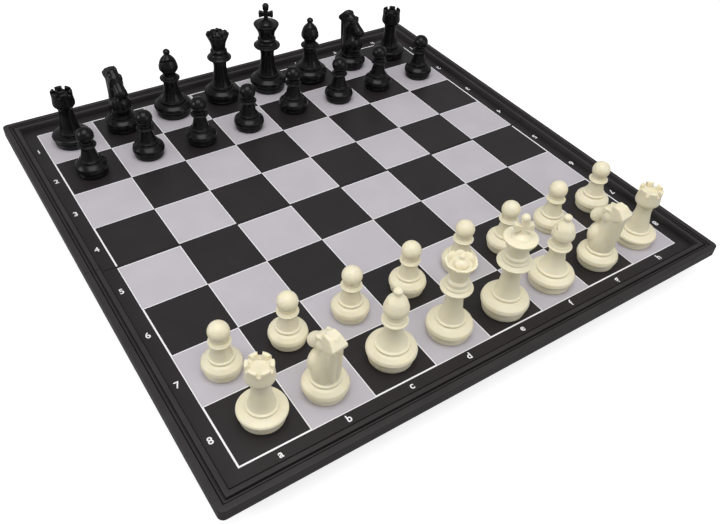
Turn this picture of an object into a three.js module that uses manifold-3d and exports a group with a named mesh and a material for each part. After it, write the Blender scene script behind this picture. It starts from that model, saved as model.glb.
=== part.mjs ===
// Folding magnetic chess set, opened flat with its thirty-two men set up for play.
// Millimetres. X runs along the files a to h, Y from the near player to the far player, Z up.
// The origin is the middle of the board at table level. The near half lies at negative Y.
import * as THREE from "three";
import { mergeVertices } from "three/addons/utils/BufferGeometryUtils.js";
import Module from "manifold-3d";

const wasm = await Module();
wasm.setup();

// ---------------------------------------------------------------- driving dimensions

const GAP = 0.3; // clearance between neighbouring pieces
const SQUARE = 35; // side of one square
const ROWS = 4; // rows of squares on each half
const SEAM = 1.8; // from the squares of one half to those of the other, across the fold
const MARGIN = 8.3; // printed border outside the squares
const RIM = 9.2; // width of the raised moulding round the board
const CORNER = 3; // radius of the outer corners
const SHEET_GAP = 0.2; // from the edge of a sheet to the rim
const PLAY_Z = 19.5; // play surface above the table
const FOLD_Z = 3.5; // hinge axis above the table, where the two folded trays meet
const MATING_Z = FOLD_Z + GAP / 2; // lower edge of the tray walls

// Half the board's size, from its middle to the outer face of the rim.
const HALF_X = ROWS * SQUARE + MARGIN + RIM;
const HALF_Y = SEAM / 2 + ROWS * SQUARE + MARGIN + RIM;

// Heights of the moulding, from the play surface.
const BEVEL = 0.6; // outer top edge of the rim
const BAND_Z = PLAY_Z + 3.4; // outer band, the highest part of the rim
const INNER_BAND_Z = PLAY_Z + 2.9; // lower band inside it, with two grooves between them
const LIP_Z = PLAY_Z - 3.2; // underside of the rim
const DECK_TOP = PLAY_Z - 1.1;
const DECK_BOTTOM = DECK_TOP - 2;

// Tray walls under the deck.
const WALL_INSET = 9.5; // from the rim's outer face
const WALL = 2;
const WALL_OUT = HALF_Y - WALL_INSET; // outer face of the end wall, from the fold
const FOLD_LIP = 0.6; // thickness of the lip that hides the sheets' edges at the fold

// Hinges.
const HINGE_X = 95; // each side of the middle
const KNUCKLE_R = 2.2;
const KNUCKLE_LENGTH = 10;
const PIN_R = 1;
const PIN_CLEARANCE = 0.05;
const PIN_SIDES = 24;

// Rubber feet, which drop into sockets in the other half when the board is folded.
const FOOT_R = 3.5;
const FOOT_STEM_R = 1.5;
const FOOT_STEM = 5;
const FOOT_SIDES = 12;
const NEAR_FOOT_X = 110;
const FAR_FOOT_X = 90;
const FOOT_Y = WALL_OUT - WALL - FOOT_R; // from the fold
const BOSS_WALL = 1.5; // material round a foot or its socket

// Sliding catch on the near end wall, and the tabs on the far one that it holds.
const CATCH_TRAVEL = 5;
const CATCH_NECK_X = [-5, 5];
const CATCH_NECK_Z = [7.5, 12.5];
const THUMB_X = [-14, 14];
const THUMB_THICKNESS = 2.6;
const CATCH_HEAD_X = [-12, 12];
const CATCH_HEAD_THICKNESS = 2.9;
const CATCH_TOP = 14.5;
const RIDGES_X = [-6, -3, 0, 3, 6];
const RIDGE = 0.8; // height of a ridge
const HOOKS_X = [-9, 9];
const HOOK_WIDTH = 6;
const HOOK_LIP = 1.3; // thickness of a hook's lip
const TAB_THICKNESS = 1.2;
const TAB_REACH = 1.7; // how far a tab stands in from the wall

// ---------------------------------------------------------------- working with solids

function solidOf(geometry) {
  const bare = geometry.clone();
  bare.deleteAttribute("normal");
  bare.deleteAttribute("uv");
  const merged = mergeVertices(bare, 1e-4);
  return new wasm.Manifold(
    new wasm.Mesh({
      numProp: 3,
      vertProperties: merged.getAttribute("position").array,
      triVerts: new Uint32Array(merged.index.array),
    }),
  );
}

function geometryOf(solid) {
  const mesh = solid.getMesh();
  const geometry = new THREE.BufferGeometry();
  geometry.setAttribute("position", new THREE.BufferAttribute(mesh.vertProperties, 3));
  geometry.setIndex(new THREE.BufferAttribute(mesh.triVerts, 1));
  return geometry;
}

// One body from several: everything in `joined` less everything in `cuts`.
function assemble(joined, cuts = []) {
  let body = solidOf(joined[0]);
  for (const geometry of joined.slice(1)) body = body.add(solidOf(geometry));
  for (const geometry of cuts) body = body.subtract(solidOf(geometry));
  return geometryOf(body);
}

// A block between two limits along each axis.
function block([x0, x1], [y0, y1], [z0, z1]) {
  const box = new THREE.BoxGeometry(Math.abs(x1 - x0), Math.abs(y1 - y0), Math.abs(z1 - z0));
  return box.translate((x0 + x1) / 2, (y0 + y1) / 2, (z0 + z1) / 2);
}

function rodAlongX(radius, length, sides, x) {
  const rod = new THREE.CylinderGeometry(radius, radius, length, sides);
  return rod.rotateZ(Math.PI / 2).translate(x, 0, FOLD_Z);
}

// A turned piece on the Z axis, from [radius, height] pairs that run up the outside.
function turned(outline, sides) {
  const points = outline.map(([radius, height]) => new THREE.Vector2(radius, height));
  return new THREE.LatheGeometry(points, sides).rotateX(Math.PI / 2);
}

// A flat outline of [x, z] pairs, made `thickness` thick and centred on Y = 0.
function plate(outline, thickness) {
  const shape = new THREE.Shape(outline.map(([x, z]) => new THREE.Vector2(x, z)));
  const solid = new THREE.ExtrudeGeometry(shape, { depth: thickness, bevelEnabled: false });
  return solid.translate(0, 0, -thickness / 2).rotateX(Math.PI / 2);
}

// ---------------------------------------------------------------- board halves

// Section through the rim and the tray wall, anticlockwise from the outer lower corner:
// [inset from the rim's outer face, height].
const RIM_SECTION = [
  [0, LIP_Z],
  [2, LIP_Z],
  [2, LIP_Z + 3.5],
  [6.5, LIP_Z + 3.5],
  [6.5, LIP_Z],
  [WALL_INSET, LIP_Z],
  [WALL_INSET, MATING_Z],
  [WALL_INSET + WALL, MATING_Z],
  [WALL_INSET + WALL, DECK_TOP],
  [RIM, DECK_TOP],
  [RIM, PLAY_Z],
  [8.1, INNER_BAND_Z],
  [5.6, INNER_BAND_Z],
  [5.5, INNER_BAND_Z - 1.5],
  [4.7, INNER_BAND_Z - 1.5],
  [4.6, INNER_BAND_Z],
  [3.8, INNER_BAND_Z],
  [3.7, INNER_BAND_Z - 1],
  [3.3, INNER_BAND_Z - 1],
  [3.2, BAND_Z],
  [BEVEL, BAND_Z],
  [0, BAND_Z - BEVEL],
];

// The section carried round the three outer sides of the near half, with mitred corners.
function rimMoulding() {
  const stations = [
    ([inset, z]) => [-HALF_X + inset, -GAP / 2, z],
    ([inset, z]) => [-HALF_X + inset, -HALF_Y + inset, z],
    ([inset, z]) => [HALF_X - inset, -HALF_Y + inset, z],
    ([inset, z]) => [HALF_X - inset, -GAP / 2, z],
  ];
  const count = RIM_SECTION.length;
  const last = (stations.length - 1) * count;
  const faces = [];
  for (let first = 0; first < last; first += count) {
    for (let i = 0; i < count; i++) {
      const a = first + i;
      const b = first + ((i + 1) % count);
      faces.push(a, b, b + count, a, b + count, a + count);
    }
  }
  const section = RIM_SECTION.map(([inset, z]) => new THREE.Vector2(inset, z));
  for (const [a, b, c] of THREE.ShapeUtils.triangulateShape(section, [])) {
    faces.push(a, c, b, last + a, last + b, last + c);
  }
  const corners = stations.flatMap((place) => RIM_SECTION.flatMap(place));
  const geometry = new THREE.BufferGeometry();
  geometry.setAttribute("position", new THREE.Float32BufferAttribute(corners, 3));
  geometry.setIndex(faces);
  return geometry;
}

// The near half's plan with its two rounded outer corners, as a tall block to trim the rim.
function roundedPlan() {
  const plan = new THREE.Shape();
  plan.moveTo(HALF_X, 0);
  plan.lineTo(-HALF_X, 0);
  plan.absarc(CORNER - HALF_X, CORNER - HALF_Y, CORNER, Math.PI, 1.5 * Math.PI);
  plan.absarc(HALF_X - CORNER, CORNER - HALF_Y, CORNER, -0.5 * Math.PI, 0);
  const height = BAND_Z + 1;
  return new THREE.ExtrudeGeometry(plan, { depth: height, bevelEnabled: false, curveSegments: 3 });
}

// One half of the board. `side` is -1 for the near half and 1 for the far one, and every Y below
// is a distance out from the fold.
function halfShell(side) {
  const near = side < 0;
  const y = (from, to) => [side * from, side * to];
  const face = GAP / 2; // the fold face of this half
  const insideX = HALF_X - RIM;

  const rim = geometryOf(solidOf(rimMoulding()).intersect(solidOf(roundedPlan())));
  if (!near) rim.rotateZ(Math.PI);
  const inWall = WALL_INSET + WALL / 2;
  const joined = [
    rim,
    block([inWall - HALF_X, HALF_X - inWall], y(face, HALF_Y - inWall), [DECK_BOTTOM, DECK_TOP]),
    block([inWall - HALF_X, HALF_X - inWall], y(face, face + WALL), [MATING_Z, DECK_TOP]),
    block([-insideX, insideX], y(face, face + FOLD_LIP), [DECK_BOTTOM, PLAY_Z - 0.2]),
  ];
  const cuts = [];

  // Hinge knuckles: the near half has the two outer ones of each hinge, the far half the middle one.
  const pitch = KNUCKLE_LENGTH + GAP;
  const outer = [-pitch, pitch];
  const boreR = (PIN_R + PIN_CLEARANCE) / Math.cos(Math.PI / PIN_SIDES);
  for (const hinge of [-HINGE_X, HINGE_X]) {
    for (const step of near ? outer : [0]) {
      joined.push(rodAlongX(KNUCKLE_R, KNUCKLE_LENGTH, PIN_SIDES, hinge + step));
      cuts.push(rodAlongX(boreR, KNUCKLE_LENGTH + 1, PIN_SIDES, hinge + step));
    }
    for (const step of near ? [0] : outer) {
      cuts.push(rodAlongX(KNUCKLE_R + GAP, KNUCKLE_LENGTH + 2 * GAP, PIN_SIDES, hinge + step));
    }
  }

  // Blocks inside the end wall: two hold this half's feet, two are sockets for the other's.
  const feet = near ? NEAR_FOOT_X : FAR_FOOT_X;
  const sockets = near ? FAR_FOOT_X : NEAR_FOOT_X;
  for (const x of [-feet, feet, -sockets, sockets]) {
    const across = [x - FOOT_R - BOSS_WALL, x + FOOT_R + BOSS_WALL];
    const inward = FOOT_Y - FOOT_R - BOSS_WALL;
    joined.push(block(across, y(inward, WALL_OUT - WALL / 2), [MATING_Z, DECK_BOTTOM + 1]));
    const socket = Math.abs(x) === sockets;
    const radius = socket ? FOOT_R + GAP : FOOT_STEM_R + GAP;
    const depth = (socket ? FOLD_Z : FOOT_STEM) + GAP;
    cuts.push(upright(radius, [MATING_Z - 1, MATING_Z + depth], x, side * FOOT_Y));
  }

  if (near) {
    const slot = [CATCH_NECK_X[0] - GAP, CATCH_NECK_X[1] + CATCH_TRAVEL + GAP];
    const [low, high] = CATCH_NECK_Z;
    cuts.push(block(slot, y(WALL_OUT - WALL - 1, WALL_OUT + 1), [low - GAP, high + GAP]));
  } else {
    for (const hook of HOOKS_X) {
      const start = hook + HOOK_WIDTH / 2 + 0.5;
      const tab = [start, start + CATCH_TRAVEL];
      const inward = y(WALL_OUT - WALL - TAB_REACH, WALL_OUT - WALL / 2);
      joined.push(block(tab, inward, [MATING_Z, MATING_Z + TAB_THICKNESS]));
    }
  }
  return assemble(joined, cuts);
}

function upright(radius, [z0, z1], x, y) {
  const rod = new THREE.CylinderGeometry(radius, radius, z1 - z0, FOOT_SIDES);
  return rod.rotateX(Math.PI / 2).translate(x, y, (z0 + z1) / 2);
}

// A sheet on the deck: its size follows the recess, less a little all round.
function sheet(side, bottom, top) {
  const x = HALF_X - RIM - SHEET_GAP;
  const fromFold = GAP / 2 + FOLD_LIP + 0.15;
  return block([-x, x], [side * fromFold, side * (HALF_Y - RIM - SHEET_GAP)], [bottom, top]);
}

function hingePin(x) {
  return rodAlongX(PIN_R, 3 * KNUCKLE_LENGTH + 2 * GAP, PIN_SIDES, x);
}

// A foot on the table with a stem up into the block that holds it.
function rubberFoot(x, y) {
  const edge = 0.4;
  const outline = [
    [0, 0],
    [FOOT_R - edge, 0],
    [FOOT_R, edge],
    [FOOT_R, FOLD_Z - GAP / 2],
    [FOOT_STEM_R, FOLD_Z - GAP / 2],
    [FOOT_STEM_R, FOLD_Z + FOOT_STEM],
    [0, FOLD_Z + FOOT_STEM],
  ];
  return turned(outline, FOOT_SIDES).translate(x, y, 0);
}

// Thumb plate outside the near wall, a neck through its slot, and a head inside that keeps it there.
// Two arms under the head reach below the mating plane, each with a lip that points at the wall.
function slideCatch() {
  const plateY = [-WALL_OUT - GAP - THUMB_THICKNESS, -WALL_OUT - GAP];
  const headStart = -WALL_OUT + WALL + GAP;
  const headY = [headStart, headStart + CATCH_HEAD_THICKNESS];
  const joined = [
    block(THUMB_X, plateY, [MATING_Z + 1.5, CATCH_TOP]),
    block(CATCH_NECK_X, [plateY[1] - 1, headY[0] + 1], CATCH_NECK_Z),
    block(CATCH_HEAD_X, headY, [5.5, CATCH_TOP]),
  ];
  for (const x of RIDGES_X) {
    joined.push(block([x - 0.6, x + 0.6], [plateY[0] - RIDGE, plateY[0] + 1], [6.5, 13]));
  }
  const lipTop = FOLD_Z - GAP / 2 - TAB_THICKNESS - GAP;
  const lipBottom = lipTop - HOOK_LIP;
  const armY = headY[0] + TAB_REACH;
  for (const hook of HOOKS_X) {
    const across = [hook - HOOK_WIDTH / 2, hook + HOOK_WIDTH / 2];
    joined.push(block(across, [armY, headY[1]], [lipBottom, 7]));
    joined.push(block(across, [headY[0] + 0.2, headY[1]], [lipBottom, lipTop]));
  }
  return assemble(joined);
}

// ---------------------------------------------------------------- men

// Every man has the same base: a foot, a wider shoulder, and a step up to the stem. Then comes a
// waist, a collar, and the head's own outline. Values are [radius, height].
const FOOT_TIER = 3; // height of the foot
const FOOT_SHRINK = 0.89; // the foot's radius over the shoulder's
const STEM_STEP = 0.82; // the stem's radius just above its foot, over that foot's

const MEN = {
  king: {
    shoulder: [12.7, 6.5],
    stemFoot: [8, 11.9],
    waist: [4.7, 26],
    collar: [9.2, 33],
    head: [[6.7, 35], [5.4, 39], [8.7, 48.4], [4.4, 49.8]],
    sides: 12,
  },
  queen: {
    shoulder: [12.1, 5.5],
    stemFoot: [7.8, 10.9],
    waist: [4.3, 25],
    collar: [8.2, 31.5],
    head: [[6.5, 33], [4.5, 38], [7.8, 47.6], [6.4, 47.6], [5, 45.4]],
    sides: 12,
  },
  bishop: {
    shoulder: [12.7, 6.5],
    stemFoot: [8.9, 11],
    waist: [4.4, 21],
    collar: [6.6, 26.2],
    head: [[4.4, 28.4], [4.1, 30], [6.2, 34], [4.8, 39.4], [1.5, 43.2], [2.2, 44.6], [1.5, 46.1]],
    sides: 12,
  },
  knight: {
    shoulder: [11.4, 4.8],
    stemFoot: [7.8, 10.7],
    waist: [6.6, 12.4],
    collar: [6.4, 14],
    head: [],
    sides: 12,
  },
  rook: {
    shoulder: [11.9, 5.9],
    stemFoot: [7.6, 9.3],
    waist: [4.2, 22.4],
    collar: [6.9, 28.2],
    head: [[6.5, 36.9], [4.6, 36.9], [4.2, 33.3]],
    sides: 12,
  },
  pawn: {
    shoulder: [10, 4.9],
    stemFoot: [6.5, 10.5],
    waist: [3.9, 16],
    collar: [5.5, 20.4],
    head: [[3.6, 21.8], [5.2, 26.4], [4.2, 29.6], [1.8, 31.6]],
    sides: 10,
  },
};

function manBody({ shoulder, stemFoot, waist, collar, head, sides }) {
  const [shoulderR, shoulderZ] = shoulder;
  const [stemR, stemZ] = stemFoot;
  const footR = FOOT_SHRINK * shoulderR;
  const outline = [
    [0, 0],
    [footR, 0],
    [footR, FOOT_TIER],
    [shoulderR, shoulderZ],
    [stemR + 1, stemZ - 1.5],
    [stemR, stemZ],
    [STEM_STEP * stemR, stemZ + 0.6],
    waist,
    collar,
    ...head,
  ];
  const [, topZ] = outline.at(-1);
  return turned([...outline, [0, topZ]], sides);
}

// Bars through the axis, `width` wide, that cut notches in a crown or a turret from `bottom` up.
function crossBars(count, width, bottom, reach) {
  const bars = [];
  for (let i = 0; i < count; i++) {
    const bar = block([-reach, reach], [-width / 2, width / 2], [bottom, bottom + 10]);
    bars.push(bar.rotateZ((i * Math.PI) / count));
  }
  return bars;
}

// A cross with flared arms and a ball on top.
function kingGeometry() {
  const stem = 49;
  const middle = 55;
  const arm = 5.1;
  const cross = [
    [-1.6, stem],
    [1.6, stem],
    [1.3, middle - 1.4],
    [arm, middle - 2.4],
    [arm, middle + 2.4],
    [1.3, middle + 1.4],
    [2, middle + 5.6],
    [0, middle + 7.7],
    [-2, middle + 5.6],
    [-1.3, middle + 1.4],
    [-arm, middle + 2.4],
    [-arm, middle - 2.4],
    [-1.3, middle - 1.4],
  ];
  return assemble([manBody(MEN.king), plate(cross, 3.2)]);
}

function queenGeometry() {
  const crown = assemble([manBody(MEN.queen)], crossBars(5, 1.8, 46, 9));
  const dome = [[0, 44], [3.6, 44], [3.6, 46.4], [2.6, 48.6], [0.9, 49.9], [1.3, 51.1], [0, 52.6]];
  return assemble([crown, turned(dome, 10)]);
}

function bishopGeometry() {
  const slot = block([-8, 8], [-8, -1.5], [-0.5, 0.5]).rotateX(-0.35).translate(0, 0, 37.6);
  return assemble([manBody(MEN.bishop)], [slot]);
}

function rookGeometry() {
  return assemble([manBody(MEN.rook)], crossBars(3, 2.4, 34.4, 9));
}

// The horse looks along +X.
function knightGeometry() {
  const head = [
    [-6.6, 13],
    [6.6, 13],
    [7.4, 17],
    [4.6, 24.4],
    [8.4, 25],
    [10.6, 27],
    [10, 31],
    [3, 38.6],
    [-1.5, 41.2],
    [-6, 41.2],
    [-8.4, 36],
    [-7.4, 25],
  ];
  return assemble([manBody(MEN.knight), plate(head, 7.6)]);
}

const MAN_GEOMETRY = {
  king: kingGeometry,
  queen: queenGeometry,
  bishop: bishopGeometry,
  knight: knightGeometry,
  rook: rookGeometry,
  pawn: () => manBody(MEN.pawn),
};

// ---------------------------------------------------------------- materials

const finish = {
  blackShell: { color: 0x16161a, roughness: 0.5, metalness: 0 },
  steel: { color: 0x8d9094, roughness: 0.4, metalness: 1 },
  print: { color: 0x8e8b96, roughness: 0.55, metalness: 0 },
  pin: { color: 0xb4b6ba, roughness: 0.3, metalness: 1 },
  rubber: { color: 0x1b1b1b, roughness: 0.9, metalness: 0 },
  blackMan: { color: 0x141414, roughness: 0.38, metalness: 0 },
  whiteMan: { color: 0xeeebdc, roughness: 0.4, metalness: 0 },
};

const set = new THREE.Group();

function add(group, name, geometry, look) {
  const mesh = new THREE.Mesh(geometry, new THREE.MeshStandardMaterial(look));
  mesh.name = name;
  group.add(mesh);
  return mesh;
}

// ---------------------------------------------------------------- the board

for (const [half, side, footX] of [["near", -1, NEAR_FOOT_X], ["far", 1, FAR_FOOT_X]]) {
  add(set, `${half}_shell`, halfShell(side), finish.blackShell);
  add(set, `${half}_steel_sheet`, sheet(side, DECK_TOP + 0.1, PLAY_Z - 0.6), finish.steel);
  add(set, `${half}_play_sheet`, sheet(side, PLAY_Z - 0.5, PLAY_Z), finish.print);
  add(set, `${half}_foot_left`, rubberFoot(-footX, side * FOOT_Y), finish.rubber);
  add(set, `${half}_foot_right`, rubberFoot(footX, side * FOOT_Y), finish.rubber);
}
add(set, "hinge_pin_left", hingePin(-HINGE_X), finish.pin);
add(set, "hinge_pin_right", hingePin(HINGE_X), finish.pin);
add(set, "slide_catch", slideCatch(), finish.blackShell);

// ---------------------------------------------------------------- the men on the board

const MAN_CLEARANCE = 0.1; // under each man, for the felt it stands on
const FILES = ["a", "b", "c", "d", "e", "f", "g", "h"];
const BACK_ROW = ["rook", "knight", "bishop", "queen", "king", "bishop", "knight", "rook"];
const PAWNS = Array(8).fill("pawn");

// Four ranks of men. `row` counts from the near edge, `strays` says how far each man stands from
// the middle of its square, file a first, and `turns` how far it is turned, in degrees.
const RANKS = [
  {
    colour: "white",
    row: 0,
    men: BACK_ROW,
    strays: [[3, 0], [-0.5, -2], [2, -1.5], [1.5, -3], [1.5, -5], [1.5, -3], [1, -4.5], [-0.5, -2.5]],
    turns: [0, 82, 180, 0, -30, 180, 80, 20],
  },
  {
    colour: "white",
    row: 1,
    men: PAWNS,
    strays: [[-0.5, -2], [0, -1.5], [0.5, -2.5], [1.5, -2.5], [1, -3.5], [-1.5, -3.5], [-0.5, -3.5], [0.5, -2.5]],
    turns: Array(8).fill(0),
  },
  {
    colour: "black",
    row: 6,
    men: PAWNS,
    strays: [[-0.5, -1], [1, 0], [1, -2], [0, -2.5], [2, 3], [1.5, -1], [0.5, 0], [1.5, -1]],
    turns: Array(8).fill(0),
  },
  {
    colour: "black",
    row: 7,
    men: BACK_ROW,
    strays: [[-0.5, 1], [-2, 2], [-1, 3], [0.5, 4], [0.5, 1.5], [-1.5, -1], [0, 1], [0, 0]],
    turns: [0, -82, -15, 0, -30, -15, -58, 20],
  },
];

for (const { colour, row, men, strays, turns } of RANKS) {
  const look = colour === "white" ? finish.whiteMan : finish.blackMan;
  const side = row < ROWS ? -1 : 1;
  men.forEach((kind, file) => {
    const mesh = add(set, `${colour}_${kind}_${FILES[file]}`, MAN_GEOMETRY[kind](), look);
    const x = (file + 0.5 - ROWS) * SQUARE + strays[file][0];
    const y = (row + 0.5 - ROWS) * SQUARE + (side * SEAM) / 2 + strays[file][1];
    mesh.position.set(x, y, PLAY_Z + MAN_CLEARANCE);
    mesh.rotation.z = THREE.MathUtils.degToRad(turns[file]);
  });
}

export default set;
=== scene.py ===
"""Looks for a folding magnetic chess set: the board's two halves, their printed sheets, and the men."""

import math

import bmesh
import bpy
from mathutils import Matrix, Vector


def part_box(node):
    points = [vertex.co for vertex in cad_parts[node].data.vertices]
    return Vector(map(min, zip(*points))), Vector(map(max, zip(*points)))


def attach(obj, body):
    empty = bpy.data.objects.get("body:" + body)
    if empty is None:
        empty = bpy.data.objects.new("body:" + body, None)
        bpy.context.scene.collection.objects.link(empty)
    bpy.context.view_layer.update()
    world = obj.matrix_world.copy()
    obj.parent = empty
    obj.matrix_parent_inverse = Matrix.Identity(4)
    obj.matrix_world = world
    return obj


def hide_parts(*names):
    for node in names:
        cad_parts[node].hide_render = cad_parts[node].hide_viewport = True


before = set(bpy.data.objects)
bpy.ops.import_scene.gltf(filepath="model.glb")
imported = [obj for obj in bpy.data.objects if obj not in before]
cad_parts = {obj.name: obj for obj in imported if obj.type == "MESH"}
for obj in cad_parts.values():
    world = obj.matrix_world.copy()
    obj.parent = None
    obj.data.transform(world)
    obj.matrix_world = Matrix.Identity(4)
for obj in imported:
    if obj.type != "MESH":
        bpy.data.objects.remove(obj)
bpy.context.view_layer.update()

# ------------------------------------------------------------------ sizes, in metres, from the frame

MM = 0.001
GAP = 0.3 * MM  # clearance between pieces that fit together
SQUARE = 35 * MM
ROWS = 4  # rows of squares on each half
SEAM = 1.8 * MM  # between the squares of one half and those of the other
CORNER = 3 * MM  # radius of the outer corners
SHEET_GAP = 0.2 * MM  # from the edge of a sheet to the rim
SHEET_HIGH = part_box("near_play_sheet")[1]
PLAY = SHEET_HIGH.z  # height of the play surface
HALF_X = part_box("near_shell")[1].x
HALF_Y = -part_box("near_shell")[0].y
RIM = HALF_X - SHEET_HIGH.x - SHEET_GAP  # width of the rim's moulding
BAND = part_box("near_shell")[1].z  # outer band, the highest part of the rim
INNER_BAND = PLAY + 2.9 * MM
LIP = PLAY - 3.2 * MM  # underside of the rim
DECK_TOP = PLAY - 1.1 * MM
DECK_BOTTOM = DECK_TOP - 2 * MM
FOLD_Z = 3.5 * MM  # hinge axis
MATING = FOLD_Z + GAP / 2  # lower edge of the tray walls
FOLD_LIP = 0.6 * MM  # thickness of the lip that hides the sheets' edges at the fold
FOLD_LIP_TOP = PLAY - 0.2 * MM

# Tray walls.
WALL_INSET = 9.5 * MM  # from the rim's outer face
WALL = 2 * MM
WALL_OUT = HALF_Y - WALL_INSET  # outer face of the end wall, from the fold

# Hinges.
HINGE_X = 95 * MM  # each side of the middle
KNUCKLE = 10 * MM  # length of a knuckle
KNUCKLE_R = 2.2 * MM
PIN_R = 1 * MM
PIN_CLEARANCE = 0.05 * MM

# Rubber feet, and their sockets in the other half.
FOOT_R = 3.5 * MM
FOOT_STEM_R = 1.5 * MM
FOOT_STEM = 5 * MM
FOOT_Y = WALL_OUT - WALL - FOOT_R  # from the fold
NEAR_FOOT_X = 110 * MM
FAR_FOOT_X = 90 * MM
BOSS_WALL = 1.5 * MM  # from a foot's outside to the side of its block

# Sliding catch, and the tabs that it holds.
CATCH_TRAVEL = 5 * MM
CATCH_NECK = 10 * MM  # width
CATCH_NECK_Z = (7.5 * MM, 12.5 * MM)
THUMB = 28 * MM  # width
THUMB_THICKNESS = 2.6 * MM
THUMB_LOW = MATING + 1.5 * MM
CATCH_HEAD = 24 * MM  # width
CATCH_HEAD_THICKNESS = 2.9 * MM
CATCH_HEAD_LOW = 5.5 * MM
CATCH_TOP = 14.5 * MM
RIDGES_X = [ridge * MM for ridge in (-6, -3, 0, 3, 6)]
RIDGE = 0.8 * MM  # height of a ridge
RIDGE_WIDTH = 1.2 * MM
RIDGE_Z = (6.5 * MM, 13 * MM)
HOOKS_X = (-9 * MM, 9 * MM)
HOOK_WIDTH = 6 * MM
HOOK_LIP = 1.3 * MM  # thickness of a hook's lip
HOOK_INSET = 0.2 * MM  # of that lip, from the head's outer face
HOOK_TOP = 7 * MM  # of a hook's arm
TAB_THICKNESS = 1.2 * MM
TAB_REACH = 1.7 * MM  # how far a tab stands in from the wall
TAB_START = 0.5 * MM  # from the side of a hook to its tab


# ------------------------------------------------------------------ camera

CAMERA_AT = Vector((-5.832, -8.679, 8.036)) * SQUARE + Vector((0, 0, PLAY))
CAMERA_HEADING = 36.29  # degrees, clockwise from +Y
CAMERA_DIP = 43.17
CAMERA_ROLL = 4.03
CAMERA_LENS = 37.49  # millimetres, on a sensor 36 wide


def make_camera():
    """The photo's camera, solved from the corners of the squares."""
    data = bpy.data.cameras.new("camera")
    data.lens = CAMERA_LENS
    data.sensor_width = 36
    data.clip_start = 0.01
    camera = bpy.data.objects.new("camera", data)
    heading = Matrix.Rotation(math.radians(-CAMERA_HEADING), 4, "Z")
    dip = Matrix.Rotation(math.radians(90 - CAMERA_DIP), 4, "X")
    roll = Matrix.Rotation(math.radians(CAMERA_ROLL), 4, "Z")
    camera.matrix_world = Matrix.Translation(CAMERA_AT) @ heading @ dip @ roll
    bpy.context.scene.collection.objects.link(camera)
    bpy.context.scene.camera = camera


make_camera()


# ------------------------------------------------------------------ materials

DRIFT = 22 * MM  # size of the patches in which a colour drifts
ROUGH_DRIFT = 6 * MM  # and a roughness
ROUGH_SPREAD = 0.06  # how far it drifts to each side


def surface(name, colour, roughness, mottle=0.1, grain=0.5 * MM, depth=0.01, **sockets):
    """A shader whose colour and roughness drift a little over the piece, with a fine grain in relief.
    mottle is the share that the colour drifts, grain the grain's size, and depth its relief in mm."""
    material = bpy.data.materials.new(name)
    material.use_nodes = True
    nodes = material.node_tree.nodes
    links = material.node_tree.links
    shader = nodes["Principled BSDF"]
    for socket, value in sockets.items():
        shader.inputs[socket.replace("_", " ")].default_value = value

    place = nodes.new("ShaderNodeTexCoord").outputs["Object"]

    def noise(size, detail):
        node = nodes.new("ShaderNodeTexNoise")
        node.inputs["Scale"].default_value = 1 / size
        node.inputs["Detail"].default_value = detail
        links.new(place, node.inputs["Vector"])
        return node.outputs["Fac"]

    drift = noise(DRIFT, 4)
    ramp = nodes.new("ShaderNodeValToRGB")
    low, high = ramp.color_ramp.elements
    low.position = 0.35
    high.position = 0.65
    low.color = (*[c * (1 - mottle) for c in colour], 1)
    high.color = (*[c * (1 + mottle) for c in colour], 1)
    links.new(drift, ramp.inputs["Fac"])
    links.new(ramp.outputs["Color"], shader.inputs["Base Color"])

    spread = nodes.new("ShaderNodeMapRange")
    spread.inputs["To Min"].default_value = roughness - ROUGH_SPREAD
    spread.inputs["To Max"].default_value = roughness + ROUGH_SPREAD
    links.new(noise(ROUGH_DRIFT, 3), spread.inputs["Value"])
    links.new(spread.outputs["Result"], shader.inputs["Roughness"])

    bump = nodes.new("ShaderNodeBump")
    bump.inputs["Strength"].default_value = 1
    bump.inputs["Distance"].default_value = depth * MM
    links.new(noise(grain, 2), bump.inputs["Height"])
    links.new(bump.outputs["Normal"], shader.inputs["Normal"])
    return material


SHELL = surface(
    "black_shell_plastic", (0.032, 0.029, 0.0295), 0.45,
    grain=0.45 * MM, depth=0.022, Specular_IOR_Level=0.15,
)
INK_DARK = surface(
    "dark_square_print", (0.017, 0.0148, 0.0154), 0.42, 0.08, 0.6 * MM, 0.006, Specular_IOR_Level=0.3
)
INK_LIGHT = surface("light_square_print", (0.47, 0.445, 0.48), 0.42, 0.03, 0.6 * MM, 0.006)
INK_WHITE = surface("white_line_print", (0.84, 0.83, 0.85), 0.45, 0.02, 0.6 * MM, 0.006)
BLACK_MAN = surface(
    "black_man_plastic", (0.0045, 0.0041, 0.0042), 0.25,
    grain=0.7 * MM, depth=0.012, Specular_IOR_Level=0.22,
)
WHITE_MAN = surface(
    "white_man_plastic", (0.785, 0.73, 0.55), 0.4, 0.02, 0.7 * MM, 0.01,
    Subsurface_Weight=0.5, Subsurface_Radius=(1.0, 0.85, 0.4), Subsurface_Scale=1.6 * MM,
)
STEEL = surface("tinned_steel", (0.5, 0.51, 0.53), 0.35, 0.06, 0.3 * MM, 0.004, Metallic=1)
RUBBER = surface("foot_rubber", (0.018, 0.018, 0.018), 0.8, 0.15, 0.3 * MM, 0.03)
BLACK_FELT = surface("base_felt", (0.012, 0.012, 0.013), 0.95, 0.3, 0.18 * MM, 0.08, Sheen_Weight=0.3)
MAGNET = surface("magnet_ferrite", (0.05, 0.05, 0.055), 0.5, 0.1, 0.3 * MM, 0.02, Metallic=0.6)


# ------------------------------------------------------------------ making meshes

SMOOTH_UNDER = math.radians(32)  # edges that bend less are shaded smooth
MERGE = 1e-7  # vertices nearer than this, in metres, are one
CUT_MERGE = 1e-6  # the same for a shell, after its cuts


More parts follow.
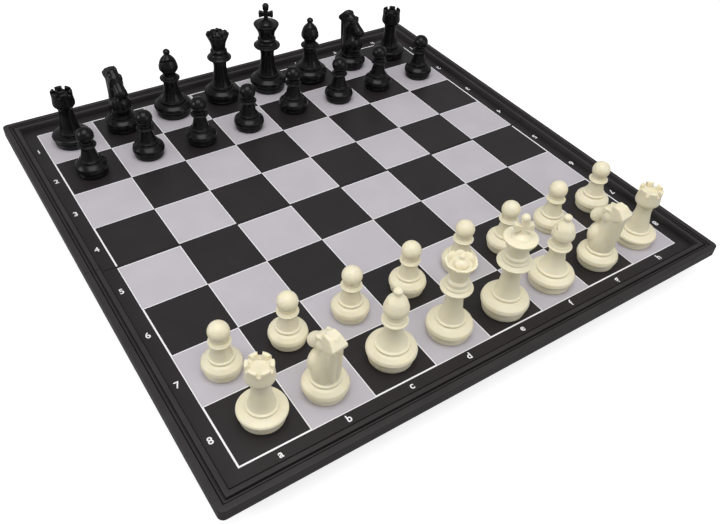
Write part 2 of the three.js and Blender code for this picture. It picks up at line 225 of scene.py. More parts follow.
def finished(bm, name, *materials):
    """Turns a bmesh into an object with outward faces, smooth where it bends gently."""
    bmesh.ops.remove_doubles(bm, verts=bm.verts, dist=MERGE)
    bmesh.ops.recalc_face_normals(bm, faces=bm.faces)
    mesh = bpy.data.meshes.new(name)
    bm.to_mesh(mesh)
    bm.free()
    for material in materials:
        mesh.materials.append(material)
    mesh.shade_smooth()
    mesh.set_sharp_from_angle(angle=SMOOTH_UNDER)
    piece = bpy.data.objects.new(name, mesh)
    bpy.context.scene.collection.objects.link(piece)
    return piece


def rounded(points, step=math.radians(15)):
    """A polyline from (a, b) or (a, b, fillet) corners, each fillet an arc that touches both sides."""
    corners = [Vector(p[:2]) for p in points]
    fillets = [p[2] if len(p) > 2 else 0 for p in points]
    line = []
    for i, corner in enumerate(corners):
        if not fillets[i]:
            line.append(corner)
            continue
        back = (corners[i - 1] - corner).normalized()
        ahead = (corners[(i + 1) % len(corners)] - corner).normalized()
        opening = back.angle(ahead)
        turn = math.pi - opening
        bisector = (back + ahead).normalized()
        middle = corner + bisector * (fillets[i] / math.sin(opening / 2))
        start = corner + back * (fillets[i] / math.tan(opening / 2)) - middle
        side = 1 if back.cross(ahead) < 0 else -1
        count = max(2, math.ceil(turn / step))
        for k in range(count + 1):
            line.append(middle + Matrix.Rotation(side * turn * k / count, 2) @ start)
    return line


def arc(middle, radius, start, end, steps=16):
    """Points on a circle about (0, middle), from one angle to another, in degrees up from level."""
    angles = [math.radians(start + (end - start) * k / steps) for k in range(steps + 1)]
    return [Vector((radius * math.cos(a), middle + radius * math.sin(a))) for a in angles]


def circle(bm, radius, height, sides):
    """A ring of vertices about the Z axis."""
    angles = [2 * math.pi * k / sides for k in range(sides)]
    return [bm.verts.new((radius * math.cos(a), radius * math.sin(a), height)) for a in angles]


def skin(bm, rings):
    """Joins each ring of vertices to the next with faces."""
    for one, other in zip(rings, rings[1:]):
        for k in range(len(one)):
            n = (k + 1) % len(one)
            bm.faces.new((one[k], one[n], other[n], other[k]))


def turn_profile(bm, line, sides=56):
    """Adds the solid of revolution of a line of (radius, height) points, from axis to axis."""
    rings = []
    for radius, height in line:
        if radius < 1e-6:
            rings.append([bm.verts.new((0, 0, height))] * sides)
        else:
            rings.append(circle(bm, radius, height, sides))
    for low, high in zip(rings, rings[1:]):
        for k in range(sides):
            n = (k + 1) % sides
            corners = dict.fromkeys([low[k], low[n], high[n], high[k]])
            if len(corners) > 2:
                bm.faces.new(corners)


def add_box(bm, x, y, z, bevel=0):
    """Adds a box between two limits along each axis, with its edges rounded."""
    low = Vector((min(x), min(y), min(z)))
    size = Vector((max(x), max(y), max(z))) - low
    made = bmesh.ops.create_cube(bm, size=1)["verts"]
    bmesh.ops.scale(bm, vec=size, verts=made)
    bmesh.ops.translate(bm, vec=low + size / 2, verts=made)
    if bevel:
        edges = list({e for v in made for e in v.link_edges})
        bmesh.ops.bevel(bm, geom=edges, offset=bevel, segments=3, profile=0.5, affect="EDGES")


def add_rod(bm, radius, start, end, sides=32):
    """Adds a cylinder between two points."""
    start, end = Vector(start), Vector(end)
    along = end - start
    place = Matrix.Translation((start + end) / 2) @ along.to_track_quat("Z", "Y").to_matrix().to_4x4()
    bmesh.ops.create_cone(
        bm, cap_ends=True, segments=sides, matrix=place,
        radius1=radius, radius2=radius, depth=along.length,
    )


def combined(target, tools, operation):
    """Joins the tools to the target, or cuts them from it, and removes them."""
    for tool in tools:
        modifier = target.modifiers.new("boolean", "BOOLEAN")
        modifier.operation = operation
        modifier.solver = "EXACT"
        modifier.object = tool
    applied(target)
    for tool in tools:
        bpy.data.objects.remove(tool)
    return target


def applied(piece):
    """Applies the piece's modifiers to its mesh."""
    graph = bpy.context.evaluated_depsgraph_get()
    mesh = bpy.data.meshes.new_from_object(piece.evaluated_get(graph), depsgraph=graph)
    piece.modifiers.clear()
    piece.data = mesh
    return piece


# ------------------------------------------------------------------ board halves


def rim_line():
    """The rim's section, [inset from its outer face, height], with the tray wall below it."""
    hollow = LIP + 3.5 * MM  # the rim is hollow below
    joint = INNER_BAND - 1 * MM  # bottoms of the three grooves in its top
    wide_groove = INNER_BAND - 1.9 * MM
    narrow_groove = INNER_BAND - 1.4 * MM
    return rounded([
        (0, LIP, 0.4 * MM),
        (2 * MM, LIP),
        (2 * MM, hollow),
        (6.5 * MM, hollow),
        (6.5 * MM, LIP),
        (WALL_INSET, LIP),
        (WALL_INSET, MATING),
        (WALL_INSET + WALL, MATING),
        (WALL_INSET + WALL, DECK_TOP),
        (RIM, DECK_TOP),
        (RIM, PLAY),
        (8.9 * MM, INNER_BAND, 0.1 * MM),
        (8.7 * MM, INNER_BAND),
        (8.65 * MM, joint),
        (8.2 * MM, joint),
        (8.15 * MM, INNER_BAND, 0.1 * MM),
        (5.8 * MM, INNER_BAND, 0.12 * MM),
        (5.7 * MM, wide_groove),
        (4.65 * MM, wide_groove),
        (4.55 * MM, INNER_BAND, 0.12 * MM),
        (3.85 * MM, INNER_BAND, 0.12 * MM),
        (3.75 * MM, narrow_groove),
        (3.3 * MM, narrow_groove),
        (3.2 * MM, BAND, 0.15 * MM),
        (0, BAND, 0.5 * MM),
        (0, PLAY + 0.15 * MM, 0.1 * MM),
        (0.22 * MM, PLAY - 0.1 * MM, 0.06 * MM),
        (0, PLAY - 0.35 * MM, 0.1 * MM),
    ])


def rim_moulding(side):
    """The section carried round a half's three outer sides, with rounded corners."""
    line = rim_line()
    steps = 6  # in each corner
    corner = [math.radians(90 * k / steps) for k in range(steps + 1)]
    left = [(-1, None), *[(-1, angle) for angle in corner]]
    right = [(1, angle) for angle in reversed(corner)] + [(1, None)]
    bm = bmesh.new()
    rings = []
    for across, angle in left + right:
        ring = []
        for inset, z in line:
            if angle is None:
                x, y = across * (HALF_X - inset), GAP / 2
            else:
                radius = max(CORNER - inset, 0.4 * MM)
                x = across * (HALF_X - inset - radius + radius * math.cos(angle))
                y = HALF_Y - inset - radius + radius * math.sin(angle)
            ring.append(bm.verts.new((x, side * y, z)))
        rings.append(ring)
    skin(bm, rings)
    bm.faces.new(rings[0])
    bm.faces.new(rings[-1])
    return finished(bm, "rim_tool", SHELL)


def solid(*shapes):
    """One object for each (function, *arguments) shape, for joining and cutting."""
    made = []
    for function, *arguments in shapes:
        bm = bmesh.new()
        function(bm, *arguments)
        made.append(finished(bm, "tool", SHELL))
    return made


def shell_half(side):
    """A half of the board: rim, deck, tray walls, hinge knuckles, and blocks for feet and sockets."""
    near = side < 0
    half = "near" if near else "far"

    def y(start, end):
        return side * start, side * end

    mid_wall = WALL_INSET + WALL / 2
    across = (mid_wall - HALF_X, HALF_X - mid_wall)
    inside = HALF_X - RIM
    face = GAP / 2
    joined = solid(
        (add_box, across, y(face, HALF_Y - mid_wall), (DECK_BOTTOM, DECK_TOP)),
        (add_box, across, y(face, face + WALL), (MATING, DECK_TOP)),
        (add_box, (-inside, inside), y(face, face + FOLD_LIP), (DECK_BOTTOM, FOLD_LIP_TOP)),
    )
    cut = []

    pitch = KNUCKLE + GAP
    outer = [-pitch, pitch]

    def rod(radius, length, x):
        return (add_rod, radius, (x - length / 2, 0, FOLD_Z), (x + length / 2, 0, FOLD_Z))

    for hinge in (-HINGE_X, HINGE_X):
        for step in outer if near else [0]:
            joined += solid(rod(KNUCKLE_R, KNUCKLE, hinge + step))
            cut += solid(rod(PIN_R + PIN_CLEARANCE, KNUCKLE + MM, hinge + step))
        for step in [0] if near else outer:
            cut += solid(rod(KNUCKLE_R + GAP, KNUCKLE + 2 * GAP, hinge + step))

    feet, sockets = (NEAR_FOOT_X, FAR_FOOT_X) if near else (FAR_FOOT_X, NEAR_FOOT_X)
    for x in (-feet, feet, -sockets, sockets):
        reach = FOOT_R + BOSS_WALL
        boss = y(FOOT_Y - reach, WALL_OUT - WALL / 2)
        joined += solid((add_box, (x - reach, x + reach), boss, (MATING, DECK_BOTTOM + MM)))
        is_socket = abs(x) == sockets
        radius = (FOOT_R if is_socket else FOOT_STEM_R) + GAP
        depth = (FOLD_Z if is_socket else FOOT_STEM) + GAP
        where = (x, side * FOOT_Y)
        cut += solid((add_rod, radius, (*where, MATING - MM), (*where, MATING + depth)))

    if near:
        slot = (-CATCH_NECK / 2 - GAP, CATCH_NECK / 2 + CATCH_TRAVEL + GAP)
        low, high = CATCH_NECK_Z
        through = y(WALL_OUT - WALL - MM, WALL_OUT + MM)
        cut += solid((add_box, slot, through, (low - GAP, high + GAP)))
    else:
        for hook in HOOKS_X:
            start = hook + HOOK_WIDTH / 2 + TAB_START
            along = (start, start + CATCH_TRAVEL)
            inward = y(WALL_OUT - WALL - TAB_REACH, WALL_OUT - WALL / 2)
            joined += solid((add_box, along, inward, (MATING, MATING + TAB_THICKNESS)))

    shell = rim_moulding(side)
    combined(shell, joined, "UNION")
    combined(shell, cut, "DIFFERENCE")
    shell.name = f"{half}_moulded_shell"
    bm = bmesh.new()
    bm.from_mesh(shell.data)
    bmesh.ops.remove_doubles(bm, verts=bm.verts, dist=CUT_MERGE)
    bm.to_mesh(shell.data)
    bm.free()
    shell.data.shade_smooth()
    shell.data.set_sharp_from_angle(angle=SMOOTH_UNDER)
    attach(shell, f"{half}_half")
    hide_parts(f"{half}_shell")


for side in (-1, 1):
    shell_half(side)


# ------------------------------------------------------------------ printed sheets

BORDER = 0.85 * MM  # white line round the squares
OUTLINE = 0.45 * MM  # thin white edge of each light square


def printed_sheet(side):
    """A sheet whose top is cut into its printed areas: squares, thin outlines, border and margin."""
    half = "near" if side < 0 else "far"
    low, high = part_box(f"{half}_play_sheet")
    grid_y = SEAM / 2
    edge_x = ROWS * SQUARE + BORDER
    edge_y = grid_y + ROWS * SQUARE + BORDER
    start, end = sorted((abs(low.y), abs(high.y)))

    # The first row starts at the sheet's own edge, so that no line is cut there.
    around = (-OUTLINE, 0, OUTLINE)
    columns = {i * SQUARE + offset for i in range(-ROWS, ROWS + 1) for offset in around}
    columns |= {low.x, high.x, -edge_x, -edge_x + OUTLINE, edge_x - OUTLINE, edge_x}
    distances = {grid_y + j * SQUARE + offset for j in range(ROWS + 1) for offset in around}
    distances = {distance for distance in distances if distance > start + OUTLINE / 2}
    distances |= {start, end, edge_y - OUTLINE, edge_y}
    columns = sorted(columns)
    distances = sorted(distances)

    def ink(x, distance):
        """0 dark, 1 light, 2 white, at a place on the sheet."""
        if abs(x) > edge_x or distance > edge_y:
            return 0
        file = min(max(math.floor(x / SQUARE), -ROWS), ROWS - 1)
        row = min(max(math.floor((distance - grid_y) / SQUARE), 0), ROWS - 1)
        rank = row if side > 0 else -1 - row
        if (file + rank) % 2 == 0:
            return 2 if abs(x) > ROWS * SQUARE or distance > grid_y + ROWS * SQUARE else 0
        left = -edge_x if file == -ROWS else file * SQUARE
        right = edge_x if file == ROWS - 1 else (file + 1) * SQUARE
        inner = grid_y + row * SQUARE
        outer = edge_y if row == ROWS - 1 else inner + SQUARE
        nearest = min(x - left, right - x, distance - inner, outer - distance)
        return 2 if nearest < OUTLINE else 1

    bm = bmesh.new()
    tops = [[bm.verts.new((x, side * d, high.z)) for d in distances] for x in columns]
    for i in range(len(columns) - 1):
        for j in range(len(distances) - 1):
            face = bm.faces.new((tops[i][j], tops[i + 1][j], tops[i + 1][j + 1], tops[i][j + 1]))
            middle = face.calc_center_median()
            face.material_index = ink(middle.x, abs(middle.y))
    outline = [e for e in bm.edges if e.is_boundary]
    sides = bmesh.ops.extrude_edge_only(bm, edges=outline)["geom"]
    lower = [v for v in sides if isinstance(v, bmesh.types.BMVert)]
    for vert in lower:
        vert.co.z = low.z
    bmesh.ops.contextual_create(bm, geom=[e for e in bm.edges if e.is_boundary])
    sheet = finished(bm, f"{half}_printed_sheet", INK_DARK, INK_LIGHT, INK_WHITE)
    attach(sheet, f"{half}_half")
    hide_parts(f"{half}_play_sheet")


for side in (-1, 1):
    printed_sheet(side)

LABEL_SIZE = 5.3 * MM
LABEL_AT = 145 * MM  # from the middle of the board
LABEL_BOLD = 0.1 * MM  # how far a letter is thickened
LABEL_RELIEF = 0.012 * MM  # half a letter's thickness
LABEL_LIFT = 0.014 * MM  # from the sheet to the middle of that thickness


def label(text, x, y, turned, body, name):
    """A bold printed letter or figure, lying on the sheet, the other way up if turned."""
    curve = bpy.data.curves.new(name, "FONT")
    curve.body = text
    curve.size = LABEL_SIZE
    curve.align_x = "CENTER"
    curve.align_y = "CENTER"
    curve.offset = LABEL_BOLD
    curve.extrude = LABEL_RELIEF
    text_object = bpy.data.objects.new(name, curve)
    bpy.context.scene.collection.objects.link(text_object)
    graph = bpy.context.evaluated_depsgraph_get()
    mesh = bpy.data.meshes.new_from_object(text_object.evaluated_get(graph), depsgraph=graph)
    bpy.data.objects.remove(text_object)
    swing = Matrix.Rotation(math.pi if turned else 0, 4, "Z")
    mesh.transform(Matrix.Translation((x, y, PLAY + LABEL_LIFT)) @ swing)
    mesh.materials.clear()
    mesh.materials.append(INK_WHITE)
    piece = bpy.data.objects.new(name, mesh)
    bpy.context.scene.collection.objects.link(piece)
    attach(piece, body)


for file, letter in enumerate("abcdefgh"):
    x = (file + 0.5 - ROWS) * SQUARE
    label(letter, x, -LABEL_AT, False, "near_half", f"near_label_{letter}")
    label(letter, x, LABEL_AT, True, "far_half", f"far_label_{letter}")
for rank in range(1, 9):
    row = 8 - rank
    side = -1 if row < ROWS else 1
    y = (row + 0.5 - ROWS) * SQUARE + side * SEAM / 2
    body = "near_half" if side < 0 else "far_half"
    label(str(rank), -LABEL_AT, y, False, body, f"left_label_{rank}")
    label(str(rank), LABEL_AT, y, True, body, f"right_label_{rank}")


# ------------------------------------------------------------------ men

TURNS = {  # degrees, where a man isn't the same all round
    "white_knight_b": 98, "white_knight_g": 96, "black_knight_b": -86, "black_knight_g": -74,
    "white_bishop_c": 180, "white_bishop_f": 180, "black_bishop_c": -15, "black_bishop_f": -15,
    "white_king_e": -30, "black_king_e": -30, "white_rook_h": 20, "black_rook_h": 20,
}

# The men's outlines are in millimetres, from the middle of the underside up the outside to the top.


def base_line(radius, widest, step_r, step_z):
    """A man's base: foot, two grooves, a rolled shoulder, and a ring at the foot of the stem."""
    ring = step_z - 1.3
    roll = ring - widest
    return [
        (0, 0),
        (0.88 * radius, 0, 0.5),
        (0.915 * radius, 0.36 * widest, 0.1),
        (0.895 * radius, 0.4 * widest, 0.05),
        (0.925 * radius, 0.44 * widest, 0.1),
        (0.93 * radius, 0.64 * widest, 0.15),
        (0.895 * radius, 0.69 * widest, 0.08),
        (0.895 * radius, 0.78 * widest, 0.08),
        (0.985 * radius, 0.84 * widest, 0.15),
        (radius, 1.02 * widest, 0.5),
        (0.955 * radius, widest + 0.45 * roll, 1),
        (step_r + 0.32 * (radius - step_r), widest + 0.85 * roll, 1),
        (step_r - 0.35, ring - 0.1, 0.15),
        (step_r - 0.05, ring + 0.15, 0.1),
        (step_r, step_z - 0.1, 0.3),
        (0.86 * step_r, step_z + 0.25, 0.3),
    ]


def turned_solid(bm, line):
    turn_profile(bm, [Vector(point) * MM for point in line])


def king_line():
    return rounded([
        *base_line(12.7, 6.2, 8, 11.9),
        (5.5, 16.5, 14),
        (4.5, 26, 12),
        (5.3, 31.2, 1),
        (8.9, 32.2, 0.4),
        (9.2, 33.1, 0.4),
        (6.6, 34.3, 0.3),
        (6.9, 35.1, 0.4),
        (6.1, 36.2, 0.3),
        (6.3, 37.9, 0.4),
        (5.3, 38.8, 0.5),
        (5.7, 42.5, 6),
        (8.4, 47.4, 0.4),
        (8.7, 48.6, 0.5),
        (5.2, 48.9, 0.3),
        (4.4, 49.9, 0.3),
        (1.8, 51.2, 0.5),
        (0, 51.3),
    ])


def queen_line():
    return rounded([
        *base_line(12.1, 5.4, 7.8, 10.9),
        (5.2, 15.5, 13),
        (4.2, 25, 12),
        (5, 29.7, 1),
        (7.9, 30.6, 0.4),
        (8.2, 31.5, 0.4),
        (6.3, 32.5, 0.3),
        (6.5, 33.3, 0.4),
        (5.5, 34.4, 0.3),
        (5.6, 36.4, 0.4),
        (4.5, 37.6, 0.6),
        (5.2, 42, 7),
        (7.8, 47.9, 0.3),
        (7, 48.1, 0.2),
        (5.4, 45.6, 0.5),
        (0, 45.2),
    ])


def queen_dome_line():
    return [Vector((0, 44)), *arc(45.6, 3.7, 0, 66), *arc(50.6, 1.35, -50, 89), Vector((0, 51.95))]


def bishop_line():
    return rounded([
        *base_line(12.7, 6, 8.9, 11),
        (5.6, 14.5, 10),
        (4.3, 21, 9),
        (4.9, 24.6, 0.8),
        (6.3, 25.4, 0.35),
        (6.6, 26.3, 0.35),
        (5.2, 26.8, 0.2),
        (5.1, 27.5, 0.25),
        (4.3, 28, 0.3),
        (4, 29.8, 0.8),
        (6.15, 32.8, 1.6),
        (6.1, 35, 2),
        (4.8, 39.2, 6),
        (1.3, 43, 0.3),
        (2.2, 43.6, 0.4),
        (2.2, 45, 0.6),
        (1.2, 46, 0.6),
        (0, 46.1),
    ])


def rook_line():
    return rounded([
        *base_line(11.9, 5.8, 7.6, 9.3),
        (5.8, 12, 8),
        (4.3, 21, 14),
        (4.5, 25, 1.2),
        (6.6, 27.6, 0.8),
        (6.8, 28.9, 0.5),
        (6.35, 33, 5),
        (6.5, 36.9, 0.6),
        (4.7, 36.9, 0.6),
        (4.2, 33.6, 0.8),
        (0, 33.2),
    ])


def pawn_line():
    return rounded([
        *base_line(10, 4.8, 6.5, 10.5),
        (5.1, 12.2, 4),
        (3.6, 18.4, 3),
        (4.2, 19.2, 0.3),
        (5.4, 19.5, 0.2),
        (5.6, 20.2, 0.3),
        (4.9, 20.5, 0.1),
        (4.9, 20.9, 0.2),
        (3.8, 21.2, 0.2),
    ]) + arc(26.4, 5.2, -50, 89.9, 24) + [Vector((0, 31.6))]


def knight_base_line():
    return rounded([*base_line(11.4, 5, 7.8, 10.7), (6.6, 12.2, 0.5), (0, 12.6)])


def king_cross(bm):
    """A flat cross with flared, notched arms."""
    middle = 55.1  # height of the cross's middle
    half = 1.5 * MM  # half its thickness
    arm = [(2.1, 4.3, 0.2), (1, 4.9, 0.2), (0, 4.5, 0.3), (-1, 4.9, 0.2), (-2.1, 4.3, 0.2)]
    corners = [(0.8, 0.8, 0.4), *arm]
    outline = []
    for quarter in range(4):
        swing = Matrix.Rotation(math.radians(90 * quarter), 2)
        outline += [(*(swing @ Vector(corner[:2])), corner[2]) for corner in corners]
    line = rounded(outline)
    rings = [[bm.verts.new((p.x * MM, y, (middle + p.y) * MM)) for p in line] for y in (-half, half)]
    skin(bm, rings)
    bm.faces.new(rings[0])
    bm.faces.new(rings[1])


def king_finial(bm):
    """The ball on top of the cross."""
    turned_solid(bm, [Vector((0, 58.2)), *arc(60.4, 2.2, -80, 89.9), Vector((0, 62.6))])


def king():
    parts = solid((turned_solid, king_line()), (king_cross,), (king_finial,))
    return combined(parts[0], parts[1:], "UNION")


def queen():
    """A turned man with ten notches cut into its crown, and a dome and a ball inside it."""
    notch_r = 1.35 * MM
    up = Vector((0, 0, 48.6 * MM))
    crown, = solid((turned_solid, queen_line()))
    notches = []
    for k in range(5):
        across = Matrix.Rotation(math.pi * k / 5, 3, "Z") @ Vector((10 * MM, 0, 0))
        notches += solid((add_rod, notch_r, up - across, up + across, 20))
    combined(crown, notches, "DIFFERENCE")
    return combined(crown, solid((turned_solid, queen_dome_line())), "UNION")


def bishop():
    """A turned man with a slanting slot cut into its head."""
    half = 0.65 * MM  # half the slot's width
    body, = solid((turned_solid, bishop_line()))
    slot, = solid((add_box, (-8 * MM, 8 * MM), (-9 * MM, -0.8 * MM), (-half, half)))
    tilt = Matrix.Rotation(math.radians(-33), 4, "X")
    slot.data.transform(Matrix.Translation((0, 0, 37.2 * MM)) @ tilt)
    return combined(body, [slot], "DIFFERENCE")


def rook():
    """A turned man with six round-bottomed gaps cut across its rim."""
    half = 1.1 * MM  # half a gap's width
    bottom = 35.3 * MM
    reach = 9 * MM
    tower, = solid((turned_solid, rook_line()))
    gaps = []
    for k in range(3):
        swing = Matrix.Rotation(math.pi * k / 3, 4, "Z")
        for gap in solid(
            (add_box, (-reach, reach), (-half, half), (bottom, 40 * MM)),
            (add_rod, half, (-reach, 0, bottom), (reach, 0, bottom), 20),
        ):
            gap.data.transform(swing)
            gaps.append(gap)
    return combined(tower, gaps, "DIFFERENCE")


def pawn():
    return solid((turned_solid, pawn_line()))[0]


def loft(bm, sections, aside=0, sides=28):
    """A capped tube through elliptical sections, in millimetres: [middle x, middle z, half depth,
    half width, tilt in degrees], all shifted aside along Y."""
    rings = []
    for x, z, depth, width, tilt in sections:
        slope = math.radians(tilt)
        ring = []
        for k in range(sides):
            angle = 2 * math.pi * k / sides
            along = depth * math.cos(angle)
            across = aside + width * math.sin(angle)
            place = Vector((x + along * math.cos(slope), across, z + along * math.sin(slope)))
            ring.append(bm.verts.new(place * MM))
        rings.append(ring)
    skin(bm, rings)
    bm.faces.new(rings[0])
    bm.faces.new(rings[-1])


def blob(bm, middle, radii):
    """An ellipsoid, in millimetres."""
    made = bmesh.ops.create_icosphere(bm, subdivisions=3, radius=MM)["verts"]
    bmesh.ops.scale(bm, vec=radii, verts=made)
    bmesh.ops.translate(bm, vec=Vector(middle) * MM, verts=made)


NECK = [
    (0.2, 11.5, 6.9, 7, 0),
    (0.5, 15.5, 7.1, 6.9, 0),
    (0.4, 18.5, 6.9, 6.5, 0),
    (-0.6, 21.5, 6.2, 5.7, 4),
    (-1.6, 26, 5.6, 4.7, 6),
    (-2.2, 31, 5.4, 4.2, 6),
    (-2.8, 36, 5.2, 3.9, 4),
    (-3.3, 39.4, 4.2, 3.4, 0),
    (-3.5, 41, 2.9, 2.6, 0),
]
HEAD = [
    (-3.8, 38.4, 2.4, 3, 51),
    (-1.6, 36.8, 4, 3.8, 51),
    (0.8, 34.4, 4.4, 4, 53),
    (3.2, 31.8, 4, 3.6, 53),
    (5.6, 29.8, 3.8, 3.6, 53),
    (7.4, 28.3, 3.9, 3.9, 53),
    (8.8, 27.1, 3.5, 3.7, 53),
    (9.7, 26.3, 2.4, 2.8, 53),
]
MANE = [
    (-5.4, 12.8, 1.7, 2, 0),
    (-5.8, 22, 2.1, 2.2, 0),
    (-6, 33.5, 2.3, 2.1, 0),
]
# Corners of the wedge at the mane's top, mirrored across the horse.
MANE_TOP = [
    (-1.5, 3.1, 41.2),
    (-5.5, 3.3, 41.2),
    (-9.4, 4.3, 37.2),
    (-9.2, 4.3, 35.2),
    (-4, 4.2, 33),
    (0.5, 3.4, 37),
]
# Lumps on each side of the head, in millimetres: middle and radii.
LUMPS = {
    "cheek": ((0.4, 2.9, 32.4), (3.4, 1.9, 3.6)),
    "eye": ((2.5, 3.5, 35.6), (1.3, 0.9, 1.2)),
    "brow": ((1.7, 3.2, 37.4), (2.4, 1.1, 0.8)),
    "nostril": ((8.4, 2.5, 27.8), (1.3, 1.2, 1.2)),
    "ear": ((-2.4, 2.3, 40), (2, 1.2, 1.7)),
}
CHEST = ((3.4, 0, 18), (5.6, 6.9, 7.4))
VOXEL = 0.38 * MM  # of the knight's skin


def horse(bm):
    """Neck, chest, head and mane of a horse that looks along +X, as overlapping solids."""
    loft(bm, NECK)
    loft(bm, HEAD)
    corners = [Vector((x, y * side, z)) * MM for x, y, z in MANE_TOP for side in (-1, 1)]
    bmesh.ops.convex_hull(bm, input=[bm.verts.new(corner) for corner in corners])
    blob(bm, *CHEST)
    for side in (-1, 1):
        for (x, y, z), radii in LUMPS.values():
            blob(bm, (x, y * side, z), radii)
        loft(bm, MANE, 1.7 * side)


def knight():
    """The horse's solids melted into one skin, with a mouth and nostrils cut in, on a turned base."""
    head, = solid((horse,))
    remesh = head.modifiers.new("remesh", "REMESH")
    remesh.mode = "VOXEL"
    remesh.voxel_size = VOXEL
    smooth = head.modifiers.new("smooth", "SMOOTH")
    smooth.factor = 0.5
    smooth.iterations = 9
    applied(head)
    half = 0.3 * MM  # half the mouth's height
    mouth, left, right = solid(
        (add_box, (6.6 * MM, 12 * MM), (-5 * MM, 5 * MM), (-half, half)),
        (blob, (9.9, -2.2, 28), (0.7, 0.7, 0.5)),
        (blob, (9.9, 2.2, 28), (0.7, 0.7, 0.5)),
    )
    tilt = Matrix.Rotation(math.radians(12), 4, "Y")
    mouth.data.transform(Matrix.Translation((0, 0, 25.7 * MM)) @ tilt)
    combined(head, [mouth, left, right], "DIFFERENCE")
    return combined(head, solid((turned_solid, knight_base_line())), "UNION")


BASE_RADII = {"king": 12.7, "queen": 12.1, "bishop": 12.7, "knight": 11.4, "rook": 11.9, "pawn": 10}
SHAPES = {"king": king, "queen": queen, "bishop": bishop, "knight": knight, "rook": rook, "pawn": pawn}


def man_meshes():
    """The mesh of each kind of man, once for each colour."""
    meshes = {}
    for kind, make in SHAPES.items():
        piece = make()
        mesh = piece.data
        bpy.data.objects.remove(piece)
        for colour, material in (("white", WHITE_MAN), ("black", BLACK_MAN)):
            one = mesh.copy()
            one.name = f"{colour}_{kind}_mesh"
            one.materials.clear()
            one.materials.append(material)
            one.shade_smooth()
            one.set_sharp_from_angle(angle=SMOOTH_UNDER)
            meshes[colour, kind] = one
        bpy.data.meshes.remove(mesh)
    return meshes


# Shares of a man's radius.
FELT_OUTER = 0.82
FELT_INNER = 0.36
MAGNET_OUTER = 0.33

# Millimetres from the underside of a man's base.
FELT_LOW = -0.09
MAGNET_LOW = -0.07
SUNK = 0.02  # how far both go up into the base


def felt_ring(bm, radius):
    """The felt under a man, with a hole for its magnet."""
    outer = FELT_OUTER * radius
    inner = FELT_INNER * radius
    line = rounded([(inner, FELT_LOW), (outer, FELT_LOW, 0.04), (outer, SUNK), (inner, SUNK)])
    rings = [circle(bm, point.x * MM, point.y * MM, 48) for point in line]
    skin(bm, [*rings, rings[0]])


def magnet_disc(bm, radius):
    reach = MAGNET_OUTER * radius
    turned_solid(bm, rounded([(0, MAGNET_LOW), (reach, MAGNET_LOW, 0.05), (reach, SUNK), (0, SUNK)]))


def place_men():
    """Stands a man on each body, with its felt and magnet."""
    meshes = man_meshes()
    for node in sorted(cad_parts):
        words = node.split("_")
        if len(words) != 3 or words[1] not in SHAPES:
            continue
        colour, kind, file = words
        low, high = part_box(node)
        foot = Vector(((low.x + high.x) / 2, (low.y + high.y) / 2, low.z))
        man = bpy.data.objects.new(f"{node}_man", meshes[colour, kind])
        bpy.context.scene.collection.objects.link(man)
        man.location = foot
        man.rotation_euler.z = math.radians(TURNS.get(node, 0))
        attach(man, f"{node}_body")
        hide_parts(node)
        felt, magnet = solid((felt_ring, BASE_RADII[kind]), (magnet_disc, BASE_RADII[kind]))
        for part, name, material in ((felt, "felt", BLACK_FELT), (magnet, "magnet", MAGNET)):
            part.name = f"{node}_{name}"
            part.data.materials.clear()
            part.data.materials.append(material)
            part.location = foot
            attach(part, f"{node}_body")


place_men()


# ------------------------------------------------------------------ hinge pins, sheets, feet and catch


def repaint(node, material):
    """Keeps a CAD node's shape and gives it a material."""
    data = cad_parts[node].data
    data.materials.clear()
    data.materials.append(material)


for node in ("hinge_pin_left", "hinge_pin_right", "near_steel_sheet", "far_steel_sheet"):
    repaint(node, STEEL)


def rubber_foot(bm):
    """A foot with a stem that goes up into its half."""
    top = FOLD_Z - GAP / 2
    stem_top = FOLD_Z + FOOT_STEM
    turn_profile(bm, rounded([
        (0, 0),
        (3.1 * MM, 0, 0.35 * MM),
        (FOOT_R, 0.9 * MM, 0.3 * MM),
        (FOOT_R, top, 0.2 * MM),
        (FOOT_STEM_R, top, 0.1 * MM),
        (FOOT_STEM_R, stem_top, 0.3 * MM),
        (0, stem_top),
    ]))


for node in ("near_foot_left", "near_foot_right", "far_foot_left", "far_foot_right"):
    low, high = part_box(node)
    foot, = solid((rubber_foot,))
    foot.name = f"{node}_rubber"
    foot.data.materials.clear()
    foot.data.materials.append(RUBBER)
    foot.location = ((low.x + high.x) / 2, (low.y + high.y) / 2, 0)
    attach(foot, f"{node.split('_')[0]}_half")
    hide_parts(node)


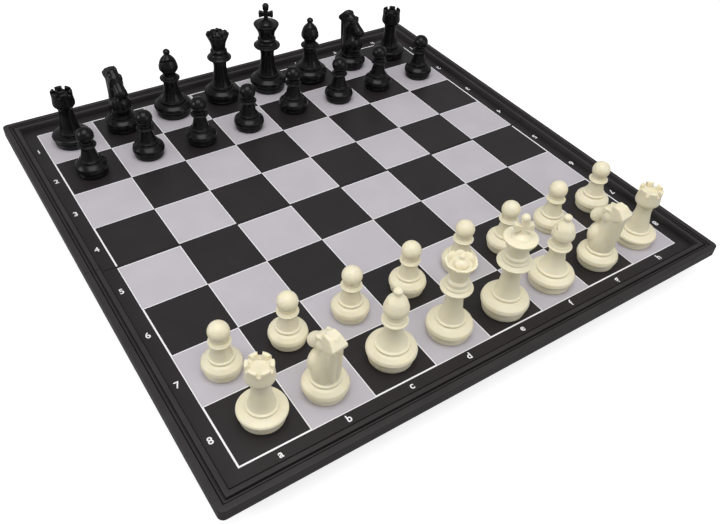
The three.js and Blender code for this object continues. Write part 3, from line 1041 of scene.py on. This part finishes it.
def slide_catch():
    """Thumb plate with ridges, a neck through the wall, and a head inside it with two hooked arms."""
    plate = (-WALL_OUT - GAP - THUMB_THICKNESS, -WALL_OUT - GAP)
    head = (-WALL_OUT + WALL + GAP, -WALL_OUT + WALL + GAP + CATCH_HEAD_THICKNESS)
    lip_top = FOLD_Z - GAP / 2 - TAB_THICKNESS - GAP
    lip = (lip_top - HOOK_LIP, lip_top)

    def span(middle, width):
        return (middle - width / 2, middle + width / 2)

    neck = (plate[1] - MM, head[0] + MM)
    shapes = [
        (add_box, span(0, THUMB), plate, (THUMB_LOW, CATCH_TOP), 0.5 * MM),
        (add_box, span(0, CATCH_NECK), neck, CATCH_NECK_Z, 0.2 * MM),
        (add_box, span(0, CATCH_HEAD), head, (CATCH_HEAD_LOW, CATCH_TOP), 0.4 * MM),
    ]
    out = (plate[0] - RIDGE, plate[0] + MM)
    for ridge in RIDGES_X:
        shapes.append((add_box, span(ridge, RIDGE_WIDTH), out, RIDGE_Z, 0.3 * MM))
    arm = (head[0] + TAB_REACH, head[1])
    hooked = (head[0] + HOOK_INSET, head[1])
    for hook in HOOKS_X:
        shapes.append((add_box, span(hook, HOOK_WIDTH), arm, (lip[0], HOOK_TOP), 0.2 * MM))
        shapes.append((add_box, span(hook, HOOK_WIDTH), hooked, lip, 0.2 * MM))
    body, *others = solid(*shapes)
    combined(body, others, "UNION")
    body.name = "thumb_catch"
    body.data.shade_smooth()
    body.data.set_sharp_from_angle(angle=SMOOTH_UNDER)
    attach(body, "catch")
    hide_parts("slide_catch")


slide_catch()


# ------------------------------------------------------------------ floor and light

FLOOR_SIZE = 60
FLOOR_GAP = 0.1 * MM  # under the feet, so that no two faces coincide
FLOOR_GLOW = 0.75
WORLD_LIGHT = 0.4


def make_floor():
    """A pale floor that glows, for the photo's white background."""
    bpy.ops.mesh.primitive_plane_add(size=FLOOR_SIZE, location=(0, 0, -FLOOR_GAP))
    floor = bpy.context.object
    floor.name = "floor"
    floor.visible_diffuse = False  # neither lights the box's dark sides nor is seen in them
    floor.visible_glossy = False
    floor.data.materials.append(surface(
        "pale_floor", (0.45, 0.45, 0.45), 0.8, 0.005,
        Emission_Color=(1, 1, 1, 1), Emission_Strength=FLOOR_GLOW,
    ))


def area_light(name, place, aim, size, power):
    """A round soft light at a place, in metres, that faces its aim."""
    data = bpy.data.lights.new(name, "AREA")
    data.shape = "DISK"
    data.size = size
    data.energy = power
    light = bpy.data.objects.new(name, data)
    light.location = place
    light.rotation_euler = (Vector(aim) - Vector(place)).to_track_quat("-Z", "Y").to_euler()
    bpy.context.scene.collection.objects.link(light)


def make_light():
    """White surroundings and three soft lights."""
    world = bpy.data.worlds.new("studio")
    bpy.context.scene.world = world
    world.use_nodes = True
    background = world.node_tree.nodes["Background"]
    background.inputs["Color"].default_value = (1, 1, 1, 1)
    background.inputs["Strength"].default_value = WORLD_LIGHT
    area_light("key", (-0.15, -0.2, 1), (0, 0, 0), 0.9, 7.2)
    area_light("side", (-0.9, 0.25, 0.4), (0, 0, 0.02), 0.5, 2.5)
    area_light("fill", (0.5, -1, 0.5), (0, 0, 0.02), 0.9, 3.2)
    bpy.context.scene.view_settings.view_transform = "Standard"


make_floor()
make_light()
